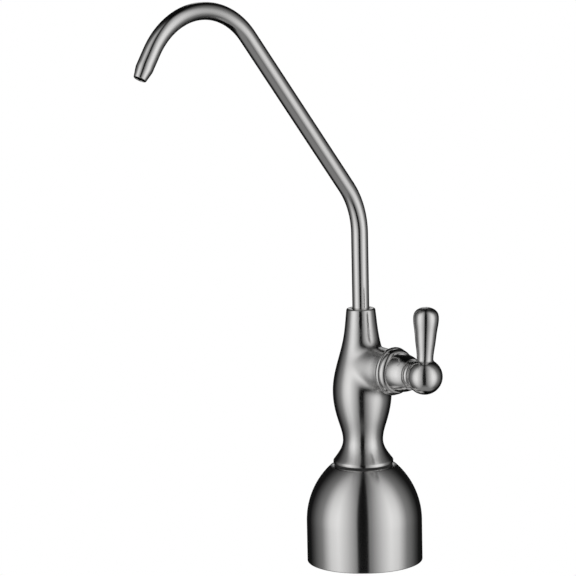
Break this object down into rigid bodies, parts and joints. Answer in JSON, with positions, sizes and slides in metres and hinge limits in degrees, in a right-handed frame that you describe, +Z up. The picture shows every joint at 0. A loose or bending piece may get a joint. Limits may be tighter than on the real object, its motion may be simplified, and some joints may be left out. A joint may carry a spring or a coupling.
{
  "type": "drinking water filter tap",
  "caption": "Deck-mounted drinking water tap with a bell base, vase body, swivelling gooseneck spout and side quarter-turn lever valve.",
  "frame": {"origin": "on the tap's axis, level with the face of the deck gasket that rests on the sink deck", "axes": "+Z up along the body and riser, the spout reaches to -Y, and the valve and lever stand out to +X"},
  "size_m": [0.0781, 0.1615, 0.3246],
  "materials": {
    "brushed_nickel": "fine brushed nickel",
    "plated_shank": "plain plated thread",
    "stainless": "pressed stainless steel",
    "brass": "turned brass",
    "black_rubber": "moulded rubber",
    "ceramic": "lapped alumina ceramic",
    "nylon": "moulded nylon"
  },
  "bodies": {
    "tap": {"tap_body": "brushed_nickel", "base_bell": "brushed_nickel", "base_plate": "nylon", "deck_gasket": "black_rubber", "foot_gasket": "black_rubber", "threaded_shank": "plated_shank", "rubber_washer": "black_rubber", "steel_washer": "stainless", "lock_washer": "stainless", "lock_nut": "brass", "cartridge_body": "brass", "cartridge_o_ring": "black_rubber", "seat_seal": "black_rubber", "fixed_disc": "ceramic", "thrust_washer": "nylon", "bonnet": "brushed_nickel", "spout_snap_ring": "stainless"},
    "spout": {"spout_tube": "brushed_nickel", "spout_ferrule": "brass", "spout_o_rings": "black_rubber"},
    "lever": {"lever_ball": "brushed_nickel", "lever_arm": "brushed_nickel", "lever_grub_screw": "stainless", "spindle": "brass", "moving_disc": "ceramic", "spindle_o_rings": "black_rubber", "spindle_clip": "stainless"}
  },
  "joints": [
    {"name": "spout_swivel", "type": "hinge", "parent": "tap", "child": "spout", "pos_m": [0, 0, 0.1228], "axis": [0, 0, 1], "continuous": true},
    {"name": "lever_turn", "type": "hinge", "parent": "tap", "child": "lever", "pos_m": [0.0421, 0, 0.095], "axis": [1, 0, 0], "range_deg": [0, 90]}
  ]
}
